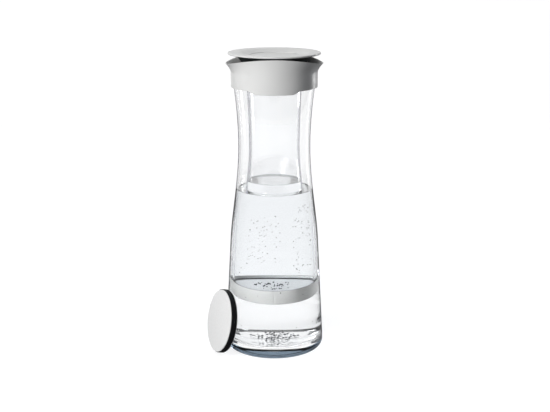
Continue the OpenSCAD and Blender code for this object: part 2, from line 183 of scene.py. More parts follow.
# How far the handles of the wall's two curves reach from their ends.
TAPER_HANDLE = 30
WAIST_HANDLE_DOWN = 38
WAIST_HANDLE_UP = 22
MOUTH_HANDLE = (1.9, 14)
CARAFE_WALL = 1.9
FLOOR_T = 9.5
FLOOR_ROUND = 11
FOOT_HOLLOW = 1.0
FOOT_HOLLOW_R = 37.5
FOOT_FLAT_R = 33.5
FOOT_ROUND = 1
RIM_FROM_DEG = 15
FOOT_STEPS = 4
HEEL_STEPS = 14
TAPER_STEPS = 8
WALL_STEPS = 28
RIM_STEPS = 8
FLOOR_STEPS = 18
LATHE_STEPS = 160
BEND_STEPS = 5
BEND_LIMIT = 0.45
MERGE_DIST = 1e-7
SHARP_DEG = 32
OUTER_WATER_Z = 164.5
MENISCUS = 0.9
FACE_SLACK = 0.5
GLASS_IOR = 1.5
WATER_IOR = 1.333
# Glass is clear seen square on and darker seen along its wall, partly its own tint over the
# longer path and partly painted shade for the dark outlines of its edges; the band is where it
# changes.
GLASS_CLEAR = (0.988, 0.991, 0.994)
GLASS_TINT_AND_EDGE_SHADE = (0.022, 0.024, 0.055)
INNER_TINT_AND_EDGE_SHADE = (0.55, 0.57, 0.62)
EDGE_BAND = (0.72, 0.88)
GLASS_WAVE = 30
GLASS_HAZE = 0.004
LAMP_TINT = (0.92, 0.925, 0.93)
# The heel's own blue grey deepened by painted shade for the dark seen through it.
HEEL_TINT_AND_SHADE = (0.035, 0.062, 0.10)
HEEL_IN_R = 40
NOISE_DETAIL = 3.0
NOISE_SPAN = (0.3, 0.7)
MM_PER_METRE = 1000.0


def bezier(a, b, c, d, steps):
    """Points along one cubic curve after its start."""
    points = []
    for i in range(1, steps + 1):
        t = i / steps
        parts = ((1 - t) ** 3, 3 * t * (1 - t) ** 2, 3 * t * t * (1 - t), t ** 3)
        points.append(tuple(sum(p * q[k] for p, q in zip(parts, (a, b, c, d))) for k in (0, 1)))
    return points


def arc(centre, radius, from_deg, to_deg, steps):
    turns = [math.radians(from_deg + (to_deg - from_deg) * i / steps) for i in range(steps + 1)]
    return [(centre[0] + radius * math.cos(w), centre[1] + radius * math.sin(w)) for w in turns]


def carafe_wall(inset):
    """The carafe's wall line from the heel to the rim, as (radius, height)."""
    slope = (HEEL_R - TAPER_END[0]) / (TAPER_END[1] - TAPER_START_Z)
    taper_end = (TAPER_END[0] - inset, TAPER_END[1])
    waist = (WAIST[0] - inset, WAIST[1])
    mouth = (MOUTH[0] - inset, MOUTH[1])
    line = [(HEEL_R - inset, HEEL_TOP_Z), (HEEL_R - inset, TAPER_START_Z)]
    for i in range(1, TAPER_STEPS + 1):
        share = i / TAPER_STEPS
        line.append((HEEL_R - inset + (TAPER_END[0] - HEEL_R) * share,
                     TAPER_START_Z + (TAPER_END[1] - TAPER_START_Z) * share))
    line += bezier(taper_end, (taper_end[0] - TAPER_HANDLE * slope, taper_end[1] + TAPER_HANDLE),
                   (waist[0], waist[1] - WAIST_HANDLE_DOWN), waist, WALL_STEPS)
    line += bezier(waist, (waist[0], waist[1] + WAIST_HANDLE_UP),
                   (mouth[0] - MOUTH_HANDLE[0], mouth[1] - MOUTH_HANDLE[1]), mouth, WALL_STEPS)
    return line


def split_at(line, height):
    """Adds a point where the line crosses a height."""
    out = [line[0]]
    for low, high in zip(line, line[1:]):
        if (low[1] - height) * (high[1] - height) < 0:
            share = (height - low[1]) / (high[1] - low[1])
            out.append((low[0] + (high[0] - low[0]) * share, height))
        out.append(high)
    return out


def radius_at(line, height):
    """Radius of a rising line at a height."""
    for low, high in zip(line, line[1:]):
        if low[1] <= height <= high[1]:
            return low[0] + (high[0] - low[0]) * (height - low[1]) / (high[1] - low[1])
    return line[-1][0]


def rounded(points, closed=True):
    """Turns corners given as (radius, height, bend) into arcs."""
    out = []
    count = len(points)
    for i, point in enumerate(points):
        bend = point[2] if len(point) > 2 else 0
        if not bend or (not closed and i in (0, count - 1)):
            out.append((point[0], point[1]))
            continue
        here = Vector(point[:2])
        back = Vector(points[i - 1][:2]) - here
        ahead = Vector(points[(i + 1) % count][:2]) - here
        bend = min(bend, back.length * BEND_LIMIT, ahead.length * BEND_LIMIT)
        start = here + back.normalized() * bend
        end = here + ahead.normalized() * bend
        for k in range(BEND_STEPS + 1):
            t = k / BEND_STEPS
            spot = start * (1 - t) ** 2 + here * 2 * t * (1 - t) + end * t * t
            out.append((spot.x, spot.y))
    return out


def finish_mesh(bm, name, body, material):
    """Makes a bmesh into a piece that rides on a body, with one material or a list of them."""
    bmesh.ops.remove_doubles(bm, verts=bm.verts, dist=MERGE_DIST)
    bmesh.ops.recalc_face_normals(bm, faces=bm.faces)
    for face in bm.faces:
        face.smooth = True
    for edge in bm.edges:
        edge.smooth = edge.calc_face_angle(0) < math.radians(SHARP_DEG)
    mesh = bpy.data.meshes.new(name)
    bm.to_mesh(mesh)
    bm.free()
    piece = bpy.data.objects.new(name, mesh)
    bpy.context.collection.objects.link(piece)
    for one in material if isinstance(material, list) else [material]:
        mesh.materials.append(one)
    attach(piece, body)
    return piece


def lathe_mesh(outline, steps=LATHE_STEPS, closed=False):
    """A turned bmesh from (radius, height) points in mm; open outlines start and end on the axis."""
    bm = bmesh.new()
    verts = [bm.verts.new((max(r, 0) * MM, 0, z * MM)) for r, z in outline]
    pairs = list(zip(verts, verts[1:])) + ([(verts[-1], verts[0])] if closed else [])
    edges = [bm.edges.new(pair) for pair in pairs]
    bmesh.ops.spin(bm, geom=verts + edges, cent=(0, 0, 0), axis=(0, 0, 1),
                   angle=2 * math.pi, steps=steps, use_merge=True)
    bmesh.ops.remove_doubles(bm, verts=bm.verts, dist=MERGE_DIST)
    return bm


def lathe(name, outline, body, material, closed=False, pick=None):
    """A turned piece; pick gives a face's material index from its radius and height in mm."""
    bm = lathe_mesh(outline, closed=closed)
    if pick:
        for face in bm.faces:
            spot = face.calc_center_median()
            face.material_index = pick(math.hypot(spot.x, spot.y) / MM, spot.z / MM)
    return finish_mesh(bm, name, body, material)


def noise_group():
    """Noise between two values, at a size given in mm, on the object's own coordinates."""
    tree = bpy.data.node_groups.new("even_noise", "ShaderNodeTree")
    for label, value in (("Size", 1.0), ("Low", 0.0), ("High", 1.0)):
        socket = tree.interface.new_socket(label, in_out="INPUT", socket_type="NodeSocketFloat")
        socket.default_value = value
    tree.interface.new_socket("Fac", in_out="OUTPUT", socket_type="NodeSocketFloat")
    into = tree.nodes.new("NodeGroupInput")
    out = tree.nodes.new("NodeGroupOutput")
    place = tree.nodes.new("ShaderNodeTexCoord")
    scale = tree.nodes.new("ShaderNodeMath")
    scale.operation = "DIVIDE"
    scale.inputs[0].default_value = MM_PER_METRE
    tree.links.new(into.outputs["Size"], scale.inputs[1])
    noise = tree.nodes.new("ShaderNodeTexNoise")
    noise.inputs["Detail"].default_value = NOISE_DETAIL
    tree.links.new(place.outputs["Object"], noise.inputs["Vector"])
    tree.links.new(scale.outputs[0], noise.inputs["Scale"])
    span = tree.nodes.new("ShaderNodeMapRange")
    span.inputs["From Min"].default_value, span.inputs["From Max"].default_value = NOISE_SPAN
    tree.links.new(noise.outputs[0], span.inputs["Value"])
    tree.links.new(into.outputs["Low"], span.inputs["To Min"])
    tree.links.new(into.outputs["High"], span.inputs["To Max"])
    tree.links.new(span.outputs[0], out.inputs[0])
    return tree


EVEN_NOISE = noise_group()


def add_noise(material, size, low, high):
    """Puts the noise group into a material and gives its output."""
    node = material.node_tree.nodes.new("ShaderNodeGroup")
    node.node_tree = EVEN_NOISE
    for label, value in (("Size", size), ("Low", low), ("High", high)):
        node.inputs[label].default_value = value
    return node.outputs[0]


def uneven_gloss(material, size, low, high):
    """Lets the roughness wander between two values."""
    material.node_tree.links.new(add_noise(material, size, low, high),
                                 shader_of(material).inputs["Roughness"])


def blend_colours(material, factor, low, high):
    """Runs the base colour from one colour to another by a factor output."""
    tree = material.node_tree
    blend = tree.nodes.new("ShaderNodeMix")
    blend.data_type = "RGBA"
    blend.inputs["A"].default_value = (*low, 1)
    blend.inputs["B"].default_value = (*high, 1)
    tree.links.new(factor, blend.inputs["Factor"])
    tree.links.new(blend.outputs["Result"], shader_of(material).inputs["Base Color"])


def let_lamps_through(material, tint):
    """Clear walls cast no hard shadow: lamp light reaches what stands inside or behind them."""
    tree = material.node_tree
    ray = tree.nodes.new("ShaderNodeLightPath")
    clear = tree.nodes.new("ShaderNodeBsdfTransparent")
    clear.inputs["Color"].default_value = (*tint, 1)
    either = tree.nodes.new("ShaderNodeMixShader")
    tree.links.new(ray.outputs["Is Shadow Ray"], either.inputs[0])
    tree.links.new(shader_of(material).outputs[0], either.inputs[1])
    tree.links.new(clear.outputs[0], either.inputs[2])
    tree.links.new(either.outputs[0], tree.nodes["Material Output"].inputs["Surface"])


def clear_material(name, edge, ior, band):
    """Clear glass or plastic, darker in a band where the eye looks along the wall: its own tint with
    painted shade for the dark outline.
    """
    material = new_material(name, GLASS_CLEAR, 0.0, (("Transmission Weight", 1.0), ("IOR", ior)))
    tree = material.node_tree
    facing = tree.nodes.new("ShaderNodeLayerWeight")
    facing.inputs["Blend"].default_value = 0.5
    along = tree.nodes.new("ShaderNodeMapRange")
    along.interpolation_type = "SMOOTHSTEP"
    along.inputs["From Min"].default_value, along.inputs["From Max"].default_value = band
    tree.links.new(facing.outputs["Facing"], along.inputs["Value"])
    blend_colours(material, along.outputs[0], GLASS_CLEAR, edge)
    let_lamps_through(material, LAMP_TINT)
    uneven_gloss(material, GLASS_WAVE, 0.0, GLASS_HAZE)
    return material


def heel_material():
    """The thick heel's faces that look outwards take the glass's own blue grey deepened by painted
    shade, for the dark seen through the heel.
    """
    material = clear_material("carafe_glass_heel", GLASS_TINT_AND_EDGE_SHADE, GLASS_IOR, EDGE_BAND)
    tree = material.node_tree
    colour = shader_of(material).inputs["Base Color"]
    clear = colour.links[0].from_socket
    side = tree.nodes.new("ShaderNodeNewGeometry")
    tinted_and_shaded = tree.nodes.new("ShaderNodeMix")
    tinted_and_shaded.data_type = "RGBA"
    tinted_and_shaded.inputs["A"].default_value = (*HEEL_TINT_AND_SHADE, 1)
    tree.links.new(side.outputs["Backfacing"], tinted_and_shaded.inputs["Factor"])
    tree.links.new(clear, tinted_and_shaded.inputs["B"])
    tree.links.new(tinted_and_shaded.outputs["Result"], colour)
    return material


def carafe_body():
    corner_z = FLOOR_T + FLOOR_ROUND
    inner_line = carafe_wall(CARAFE_WALL)
    inner = split_at([p for p in inner_line if p[1] > corner_z], OUTER_WATER_Z + MENISCUS)
    corner_r = radius_at(inner_line, corner_z)
    rim_round = CARAFE_WALL / 2
    outline = [(0, FOOT_HOLLOW), (FOOT_FLAT_R, FOOT_HOLLOW)]
    outline += arc((FOOT_HOLLOW_R - FOOT_ROUND, FOOT_HOLLOW), FOOT_ROUND, 180, 270, FOOT_STEPS)[1:]
    outline += arc((HEEL_R - HEEL_ROUND, HEEL_ROUND), HEEL_ROUND, -90, 0, HEEL_STEPS)
    outline += carafe_wall(0)
    outline += [(MOUTH[0], MOUTH_Z - rim_round)]
    outline += arc((MOUTH[0] - rim_round, MOUTH_Z - rim_round), rim_round,
                   RIM_FROM_DEG, 180, RIM_STEPS)
    outline += inner[::-1]
    outline += arc((corner_r - FLOOR_ROUND, corner_z), FLOOR_ROUND, 0, -90, FLOOR_STEPS)
    outline += [(0, FLOOR_T)]

    dry, wet, heel, inside = range(4)
    middle_line = carafe_wall(CARAFE_WALL / 2)

    def part_of_glass(radius, height):
        if radius < radius_at(middle_line, height) and height > FLOOR_T - FACE_SLACK:
            return wet if height < OUTER_WATER_Z + MENISCUS else inside
        return heel if height < HEEL_TOP_Z and radius > HEEL_IN_R else dry

    glasses = [clear_material("carafe_glass", GLASS_TINT_AND_EDGE_SHADE, GLASS_IOR, EDGE_BAND),
               clear_material("carafe_glass_wet", INNER_TINT_AND_EDGE_SHADE, GLASS_IOR / WATER_IOR, EDGE_BAND),
               heel_material(),
               clear_material("carafe_glass_inner", INNER_TINT_AND_EDGE_SHADE, GLASS_IOR, EDGE_BAND)]
    piece = lathe("carafe_glass_body", outline, "carafe", glasses, pick=part_of_glass)
    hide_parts("carafe_body")


carafe_body()


# Funnel: clear moulded plastic tube with a waist, held by its mouth in the pour deck's hub.
# Its spigot stands in the holder ring and presses on the disc's flat seal.
DISC_R = 31.9
FUNNEL_WALL = 1.5
FUNNEL_TOP_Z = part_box("funnel_tube")[1][2] / MM
FUNNEL_FOOT_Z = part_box("funnel_tube")[0][2] / MM
SPIGOT_TOP_Z = FUNNEL_FOOT_Z + 9.3
FUNNEL_SHOULDER_R = 30
FUNNEL_SHOULDER_Z = FUNNEL_TOP_Z - 143
FUNNEL_WAIST_R = 25
FUNNEL_WAIST_Z = FUNNEL_TOP_Z - 75
FUNNEL_MOUTH_R = 26.65
FUNNEL_BAND_Z = FUNNEL_TOP_Z - 22
# How far the handles of the funnel's two curves reach from their ends.
SHOULDER_HANDLE = (0.6, 22)
FUNNEL_WAIST_HANDLE_DOWN = 22
FUNNEL_WAIST_HANDLE_UP = 18
FUNNEL_MOUTH_HANDLE = (0.8, 18)
FUNNEL_TAPER_STEPS = 6
FUNNEL_STEPS = 24
INNER_WATER_Z = 173.0
# The funnel's edge colours are its plastic's tint with painted shade for its dark outlines.
WET_TINT_AND_EDGE_SHADE = (0.45, 0.48, 0.54)
FUNNEL_EDGE_BAND = (0.60, 0.80)


def funnel_wall(inset):
    """The funnel's wall line from its foot to its mouth, as (radius, height)."""
    waist_r = FUNNEL_WAIST_R - inset
    mouth_r = FUNNEL_MOUTH_R - inset
    line = [(DISC_R - inset, FUNNEL_FOOT_Z), (DISC_R - inset, SPIGOT_TOP_Z)]
    for i in range(1, FUNNEL_TAPER_STEPS + 1):
        share = i / FUNNEL_TAPER_STEPS
        line.append((DISC_R - inset + (FUNNEL_SHOULDER_R - DISC_R) * share,
                     SPIGOT_TOP_Z + (FUNNEL_SHOULDER_Z - SPIGOT_TOP_Z) * share))
    line += bezier(line[-1], (FUNNEL_SHOULDER_R - inset - SHOULDER_HANDLE[0],
                              FUNNEL_SHOULDER_Z + SHOULDER_HANDLE[1]),
                   (waist_r, FUNNEL_WAIST_Z - FUNNEL_WAIST_HANDLE_DOWN),
                   (waist_r, FUNNEL_WAIST_Z), FUNNEL_STEPS)
    line += bezier(line[-1], (waist_r, FUNNEL_WAIST_Z + FUNNEL_WAIST_HANDLE_UP),
                   (mouth_r - FUNNEL_MOUTH_HANDLE[0], FUNNEL_BAND_Z - FUNNEL_MOUTH_HANDLE[1]),
                   (mouth_r, FUNNEL_BAND_Z), FUNNEL_STEPS)
    return line + [(mouth_r, FUNNEL_TOP_Z)]


def funnel_tube():
    outer = split_at(funnel_wall(0), OUTER_WATER_Z + MENISCUS)
    inner = split_at(funnel_wall(FUNNEL_WALL), INNER_WATER_Z + MENISCUS)
    middle_line = funnel_wall(FUNNEL_WALL / 2)

    def wet(radius, height):
        inside = radius < radius_at(middle_line, height)
        level = INNER_WATER_Z if inside else OUTER_WATER_Z
        return 1 if height < level + MENISCUS else 0

    plastics = [clear_material("funnel_plastic", GLASS_TINT_AND_EDGE_SHADE, GLASS_IOR, FUNNEL_EDGE_BAND),
                clear_material("funnel_plastic_wet", WET_TINT_AND_EDGE_SHADE, GLASS_IOR / WATER_IOR, EDGE_BAND)]
    piece = lathe("funnel_clear_tube", outer + inner[::-1], "funnel", plastics,
                  closed=True, pick=wet)
    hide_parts("funnel_tube")


funnel_tube()


# Water: fills the carafe round the funnel and, a little higher, the funnel itself.
# Only its top faces bend light; its sides lie against glass and plastic that already do.
WATER_GAP = 0.06
WATER_FLOOR_STEPS = 12
HOLDER_R = 33.1
HOLDER_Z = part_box("holder_ring")[0][2] / MM
HOLDER_TOP_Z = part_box("holder_ring")[1][2] / MM
DISC_TOP_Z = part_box("disc_top_fleece")[1][2] / MM
MENISCUS_LINE = ((0, MENISCUS), (0.15, 0.5), (0.45, 0.22), (0.9, 0.08), (1.5, 0.0))
LEVEL_SLACK = 0.01
WATER_TOP_TINT = (0.975, 0.984, 0.988)
WATER_TOP_IOR = 1.2
WATER_SHINE_IOR = 1.8
WATER_SIDE_TINT = (0.988, 0.993, 0.996)


def meniscus(outer_r, inner_r, level):
    """The water's top line from an outer to an inner wall, drawn up at both."""
    line = [(outer_r - x, level + z) for x, z in MENISCUS_LINE]
    if inner_r is None:
        return line + [(0, level)]
    return line + [(inner_r + x, level + z) for x, z in reversed(MENISCUS_LINE)]


def water_material(name, tint, ior, more=()):
    material = new_material(name, tint, 0.0, (("Transmission Weight", 1.0), ("IOR", ior), *more))
    let_lamps_through(material, tint)
    return material


def top_or_side(level):
    """Gives the pick for lathe: material 0 on the water's top and 1 below it."""
    return lambda radius, height: 0 if height > level - LEVEL_SLACK else 1


def water():
    top = water_material("water_top", WATER_TOP_TINT, WATER_TOP_IOR, (
        ("Coat Weight", 1.0), ("Coat Roughness", 0.0), ("Coat IOR", WATER_SHINE_IOR)))
    sides = water_material("water_sides", WATER_SIDE_TINT, 1.0)
    corner_z = FLOOR_T + FLOOR_ROUND
    wall = carafe_wall(CARAFE_WALL + WATER_GAP)
    tube = funnel_wall(-WATER_GAP)
    ring_r = HOLDER_R + WATER_GAP
    ring_top_z = HOLDER_TOP_Z + WATER_GAP
    ring_foot_z = HOLDER_Z - WATER_GAP
    outline = [(0, FLOOR_T + WATER_GAP)]
    outline += arc((radius_at(wall, corner_z) - FLOOR_ROUND, corner_z + WATER_GAP),
                   FLOOR_ROUND, -90, 0, WATER_FLOOR_STEPS)
    outline += [p for p in wall if corner_z < p[1] < OUTER_WATER_Z]
    outline += meniscus(radius_at(wall, OUTER_WATER_Z + MENISCUS),
                        radius_at(tube, OUTER_WATER_Z + MENISCUS), OUTER_WATER_Z)
    outline += [p for p in reversed(tube) if ring_top_z < p[1] < OUTER_WATER_Z]
    outline += [(DISC_R + WATER_GAP, ring_top_z), (ring_r, ring_top_z),
                (ring_r, ring_foot_z), (0, ring_foot_z)]
    lathe("water_round_funnel", outline, "carafe", [top, sides], pick=top_or_side(OUTER_WATER_Z))

    wall = funnel_wall(FUNNEL_WALL + WATER_GAP)
    inside = [p for p in wall if p[1] < INNER_WATER_Z]
    foot_z = DISC_TOP_Z + WATER_GAP
    outline = [(0, foot_z), (inside[0][0], foot_z)] + inside
    outline += meniscus(radius_at(wall, INNER_WATER_Z + MENISCUS), None, INNER_WATER_Z)
    lathe("water_in_funnel", outline, "funnel", [top, sides], pick=top_or_side(INNER_WATER_Z))


water()


# Bubbles: fine bubbles of air that come out of fresh water. They cling to the glass in
# clusters, gather in loose rings on the carafe's floor and lie on the filter disc.
BUBBLE_SEED = 7
# Near-black painted shade on the clear air, for the dark look that bending light gives bubbles.
BUBBLE_PAINTED_SHADE = (0.02, 0.025, 0.035)
# Count, turn from the front in degrees, height and radius in mm of each cluster.
CLUSTERS = (
    (60, (-38, 8), (98, 146), (0.34, 0.56)),
    (55, (26, 58), (82, 154), (0.40, 0.64)),
    (26, (-75, 75), (24, 156), (0.42, 0.66)))
CLUSTER_INSET = CARAFE_WALL + 0.7
# Count and radius of each ring of foam.
FOAM_RINGS = ((26, 5.0), (34, 10.0), (40, 15.5))
FOAM_SPREAD = 1.6
FOAM_SIZE = (0.45, 1.05)
FOAM_Z = FLOOR_T + 1.2
DISC_BUBBLES = 46
DISC_BUBBLES_R = 15
DISC_BUBBLE_SIZE = (0.4, 0.8)
DISC_BUBBLE_Z = DISC_TOP_Z + 0.8


def bubble(bm, reach, turn, height, size):
    spot = Vector((reach * math.cos(turn), reach * math.sin(turn), height))
    bmesh.ops.create_icosphere(bm, subdivisions=1, radius=size * MM,
                               matrix=Matrix.Translation(spot * MM))


def bubbles():
    draw = random.Random(BUBBLE_SEED)
    # The air takes the painted shade as its colour.
    air = new_material("bubble_air", BUBBLE_PAINTED_SHADE, 0.05, (
        ("Transmission Weight", 1.0), ("IOR", 1 / WATER_IOR)))
    wall = carafe_wall(CLUSTER_INSET)
    bm = bmesh.new()
    for count, turns, heights, sizes in CLUSTERS:
        for _ in range(count):
            height = draw.uniform(*heights)
            turn = math.radians(draw.uniform(*turns) - 90)
            bubble(bm, radius_at(wall, height), turn, height, draw.uniform(*sizes))
    for count, radius in FOAM_RINGS:
        for _ in range(count):
            turn = draw.uniform(0, 2 * math.pi)
            reach = radius + draw.gauss(0, FOAM_SPREAD)
            bubble(bm, reach, turn, FOAM_Z, draw.uniform(*FOAM_SIZE))
    finish_mesh(bm, "water_bubbles", "carafe", air)
    bm = bmesh.new()
    for _ in range(DISC_BUBBLES):
        turn = draw.uniform(0, 2 * math.pi)
        reach = DISC_BUBBLES_R * math.sqrt(draw.random())
        bubble(bm, reach, turn, DISC_BUBBLE_Z, draw.uniform(*DISC_BUBBLE_SIZE))
    finish_mesh(bm, "water_bubbles_on_disc", "funnel", air)


bubbles()


# Filter disc: a black pad of pressed carbon between two white fleece faces.
# One lies wet in the holder; the dry spare stands on its edge and leans on the carafe.
CORE_T = 5.8
CORE_ROUND = 0.9
FLEECE_T = 0.8
FLEECE_R = 31.2
FLEECE_SOFT = 0.6
CORE_STEPS = 5
FLEECE_STEPS = 4
SPARE_AZ_DEG = 202.5
SPARE_LEAN_DEG = 11.5
DISC_STEPS = 128


def add_bump(material, height, depth, strength):
    """Bump from a height output, its depth in mm."""
    bump = material.node_tree.nodes.new("ShaderNodeBump")
    bump.inputs["Distance"].default_value = depth * MM
    bump.inputs["Strength"].default_value = strength
    material.node_tree.links.new(height, bump.inputs["Height"])
    material.node_tree.links.new(bump.outputs[0], shader_of(material).inputs["Normal"])


def carbon_material():
    material = new_material("pressed_carbon", (0.008, 0.008, 0.009), 0.75, (
        ("Specular IOR Level", 0.15),))
    uneven_gloss(material, 0.9, 0.6, 0.95)
    add_bump(material, add_noise(material, 0.7, 0.0, 1.0), 0.25, 0.9)
    return material


def fleece_material(name, low, high):
    material = new_material(name, low, 0.9, (("Sheen Weight", 0.25),))
    blend_colours(material, add_noise(material, 1.6, 0.0, 1.0), low, high)
    add_bump(material, add_noise(material, 0.45, 0.0, 1.0), 0.05, 0.6)
    return material


CARBON = carbon_material()
FLEECE = fleece_material("white_fleece", (0.63, 0.63, 0.625), (0.68, 0.68, 0.675))
WET_FLEECE = fleece_material("wet_fleece", (0.31, 0.313, 0.313), (0.37, 0.373, 0.373))


def core_outline():
    half = CORE_T / 2
    round_r = DISC_R - CORE_ROUND
    return ([(0, -half)] + arc((round_r, CORE_ROUND - half), CORE_ROUND, -90, 0, CORE_STEPS)
            + arc((round_r, half - CORE_ROUND), CORE_ROUND, 0, 90, CORE_STEPS) + [(0, half)])


def fleece_outline():
    """A fleece face on the core's upper side, with a soft edge."""
    half = CORE_T / 2
    top = half + FLEECE_T
    edge = FLEECE_T * FLEECE_SOFT
    return ([(0, half), (FLEECE_R, half)]
            + arc((FLEECE_R - edge, top - edge), edge, 0, 90, FLEECE_STEPS) + [(0, top)])


def filter_discs():
    flip = Matrix.Rotation(math.pi, 4, "X")
    low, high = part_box("disc_carbon_core")
    lying = Matrix.Translation((0, 0, (low[2] + high[2]) / 2))
    low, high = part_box("spare_carbon_core")
    middle = Vector(((low[k] + high[k]) / 2 for k in range(3)))
    leaning = (Matrix.Translation(middle) @ Matrix.Rotation(math.radians(SPARE_AZ_DEG), 4, "Z")
               @ Matrix.Rotation(math.radians(90 - SPARE_LEAN_DEG), 4, "Y"))
    for body, names, place, face in (
            ("filter_disc", ("disc_carbon_core", "disc_top_fleece", "disc_bottom_fleece"),
             lying, WET_FLEECE),
            ("spare_disc", ("spare_carbon_core", "spare_front_fleece", "spare_back_fleece"),
             leaning, FLEECE)):
        core, front, back = names
        parts = (
            (core, core_outline(), CARBON, place, "carbon"),
            (front, fleece_outline(), face, place, "fleece"),
            (back, fleece_outline(), face, place @ flip, "fleece"))
        for node, outline, material, where, finish in parts:
            bm = lathe_mesh(outline, DISC_STEPS)
            bmesh.ops.transform(bm, matrix=where, verts=bm.verts)
            piece = finish_mesh(bm, "soft_" + node, body, material)
            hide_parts(node)


filter_discs()


# Seals: moulded rings squeezed between the rigid parts. The funnel's ring and the neck
# gasket are pale silicone; the plug's ring and the disc's flat seal are black rubber.
SEAL_GLOSS_SPAN = 0.1


def seal_material(name, colour, roughness, grain):
    material = new_material(name, colour, roughness)
    uneven_gloss(material, grain, roughness - SEAL_GLOSS_SPAN, roughness + SEAL_GLOSS_SPAN)
    return material


def dress(node, material):
    """Gives a CAD node that keeps its own mesh a better material."""
    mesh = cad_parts[node].data
    mesh.materials.clear()
    mesh.materials.append(material)


def seals():
    silicone = seal_material("pale_silicone", (0.62, 0.65, 0.67), 0.5, 2.0)
    rubber = seal_material("black_seal", (0.015, 0.015, 0.016), 0.55, 1.2)
    for node, material in (("funnel_seal", silicone), ("neck_gasket", silicone),
                           ("plug_seal", rubber), ("disc_gasket", rubber)):
        dress(node, material)


seals()


# Disc holder: a ring moulded in light grey plastic, pushed over the spigot from below.
# A fine line marks its front, its top edge carries near-black painted shade for the
# shadowed gap round the disc, and an open grid across its foot carries the disc.
HOLDER_WALL = 1.0
HOLDER_EDGE = 0.35
HOLDER_STEPS = 240
# Height of the band of painted shade along the ring's top edge.
HOLDER_SHADE_RIM_H = 0.15
MARK_W = 0.7
MARK_DEPTH = 0.3
OUTSIDE_SLACK = 0.1
MOTTLE_SIZE = 14
MOTTLE_SHADE = 0.985
GLOSS_SIZE = 5
GLOSS_BELOW = 0.04
GLOSS_ABOVE = 0.05
GRAIN_STRENGTH = 0.15


def moulded_material(name, colour, roughness, grain_size=1.2, grain_depth=0.002):
    """Moulded plastic with a fine grain and slightly uneven gloss; grain sizes in mm."""
    material = new_material(name, colour, roughness)
    blend_colours(material, add_noise(material, MOTTLE_SIZE, 0.0, 1.0),
                  [c * MOTTLE_SHADE for c in colour], colour)
    uneven_gloss(material, GLOSS_SIZE, roughness - GLOSS_BELOW, roughness + GLOSS_ABOVE)
    add_bump(material, add_noise(material, grain_size, 0.0, 1.0), grain_depth, GRAIN_STRENGTH)
    return material


HOLDER_GREY = moulded_material("holder_grey", (0.38, 0.38, 0.37), 0.42)


def holder_ring():
    inner = HOLDER_R - HOLDER_WALL
    outline = rounded([
        (inner, HOLDER_Z, HOLDER_EDGE), (HOLDER_R, HOLDER_Z, HOLDER_EDGE),
        (HOLDER_R, HOLDER_TOP_Z, HOLDER_EDGE), (inner, HOLDER_TOP_Z, HOLDER_EDGE)])
    bm = lathe_mesh(outline, HOLDER_STEPS, closed=True)
    # Faces along the top edge take the painted shade.
    shade_rim_z = (HOLDER_TOP_Z - HOLDER_SHADE_RIM_H) * MM
    for face in bm.faces:
        face.material_index = 1 if face.calc_center_median().z > shade_rim_z else 0
    for vert in bm.verts:
        across_front = abs(vert.co.x) < MARK_W * MM and vert.co.y < 0
        on_outside = math.hypot(vert.co.x, vert.co.y) > (HOLDER_R - OUTSIDE_SLACK) * MM
        if across_front and on_outside:
            vert.co.y += MARK_DEPTH * MM
    # Near black: painted shade for the shadowed gap at the ring's top edge.
    painted_shade_rim = moulded_material("holder_rim_painted_shade", (0.02, 0.02, 0.02), 0.5)
    piece = finish_mesh(bm, "holder_grey_ring", "disc_holder", [HOLDER_GREY, painted_shade_rim])
    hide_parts("holder_ring")


holder_ring()
dress("holder_grid", HOLDER_GREY)


# Lid collar: one light grey moulding with a skirt over the mouth, a front tongue,
# a rim that flares into a pouring lip at each side, and two ears for the hinge at the back.
SKIRT_IN_R = 40.9
SKIRT_R = 42.5
SKIRT_Z = MOUTH_Z - 12
TONGUE_DROP = 3
TONGUE_HALF_DEG = 24
TONGUE_OUT_DEG = 37
HUB_TOP_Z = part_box("pour_deck")[1][2] / MM
DECK_Z = HUB_TOP_Z - 4.5
DECK_TOP_Z = DECK_Z + 1.8
RIM_Z = DECK_TOP_Z + 14.5
LIP_Z = DECK_TOP_Z + 7.2
RIM_FRONT_R = 43.3
LIP_R = 47.9
RIM_WALL = 1.1
FLARE_POWER = 1.8
COLLAR_STEPS = 240
# Rows of the wall from the skirt's foot (-1) over the deck (0) to the rim (1).
SKIRT_ROWS = (-0.96, -0.8, -0.5, -0.25, 0)
FLARE_ROWS = 16
RIM_ROWS = (0.97, 0.99)
FOOT_EDGE = ((0.15, -1), (0.03, -0.99))
RIM_EDGE = ((0.12, 0.998), (0.35, 1.0))
CODE_R = 100
LEDGE_IN_R = 38.4
LEDGE_R = SKIRT_R - 0.6
LEDGE_Z = MOUTH_Z + 0.5
LEDGE_EDGE = 0.2
LEDGE_STEPS = 128
PIN_Y = 48.6
PIN_Z = 295.4
KNUCKLE_R = 3.0
KNUCKLE_W = 15.0
EAR_R = KNUCKLE_R + 0.2
EAR_GAP = 0.5
EAR_T = 3.0
EAR_ROOT_LOW = (SKIRT_IN_R - 0.2, DECK_TOP_Z + 2.7)
EAR_ROOT_HIGH = (SKIRT_IN_R + 0.4, RIM_Z - 1.3)
EAR_STEPS = 16
SLAB_EDGE = 0.35
SLAB_EDGE_STEPS = 3
SAME_X = 1e-9
SHELL_GREY = moulded_material("shell_grey", (0.555, 0.555, 0.547), 0.32)


def skirt_edge_z(turn):
    """Height of the skirt's lower edge, which drops smoothly to the tongue at the front."""
    off_front = abs(math.degrees(math.atan2(math.cos(turn), -math.sin(turn))))
    share = (TONGUE_OUT_DEG - off_front) / (TONGUE_OUT_DEG - TONGUE_HALF_DEG)
    share = min(1, max(0, share))
    return SKIRT_Z - TONGUE_DROP * share * share * (3 - 2 * share)


